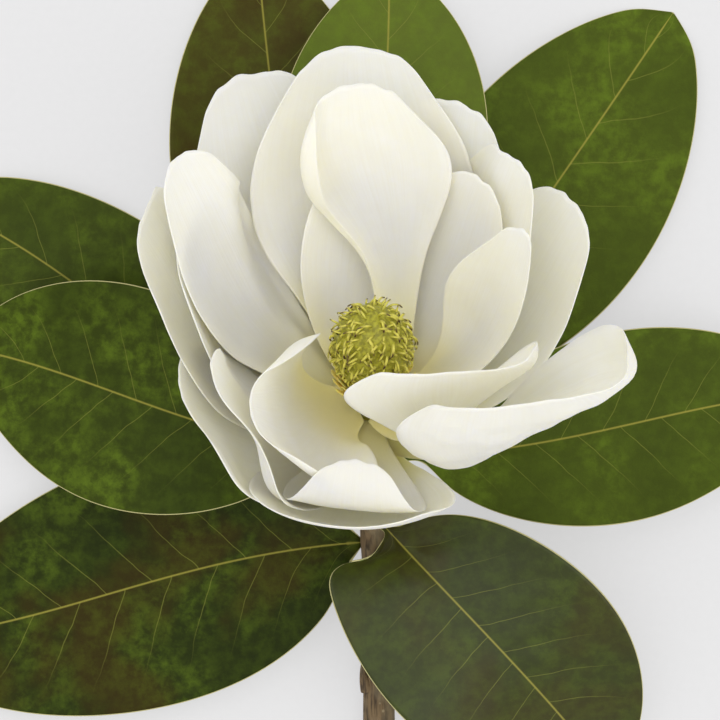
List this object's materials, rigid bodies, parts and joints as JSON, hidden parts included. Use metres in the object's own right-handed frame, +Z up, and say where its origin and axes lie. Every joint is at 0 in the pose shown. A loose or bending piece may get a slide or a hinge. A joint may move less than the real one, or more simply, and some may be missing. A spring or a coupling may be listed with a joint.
{
  "type": "magnolia flower",
  "caption": "Cream-white southern magnolia bloom, fully open round a green cone, with glossy dark green leaves on a short woody twig.",
  "frame": {"origin": "middle of the small flat under the twig, on the surface that the flower lies on", "axes": "+Z up, out of the surface; +Y along the twig, from the cut end to the bloom; +X to the right of the bloom"},
  "size_m": [0.358, 0.3893, 0.1562],
  "materials": {
    "petal": "soft satin, like a thick petal",
    "leaf": "glossy, like a waxy leaf",
    "carpel": "soft matt",
    "stamen": "soft matt",
    "bark": "rough bark"
  },
  "bodies": {
    "root": {"stem": "bark", "carpel_cone": "carpel", "stamens": "stamen", "petal_01": "petal", "petal_02": "petal", "petal_03": "petal", "petal_04": "petal", "petal_05": "petal", "petal_06": "petal", "petal_07": "petal", "petal_08": "petal", "petal_09": "petal", "petal_10": "petal", "petal_11": "petal", "petal_12": "petal", "petal_13": "petal", "petal_14": "petal", "petal_15": "petal", "petal_16": "petal", "petal_17": "petal", "petal_18": "petal", "petal_19": "petal", "leaf_a": "leaf", "leaf_b": "leaf", "leaf_c": "leaf", "leaf_d": "leaf", "leaf_e": "leaf", "leaf_f": "leaf", "leaf_g": "leaf", "leaf_h": "leaf"}
  },
  "joints": []
}
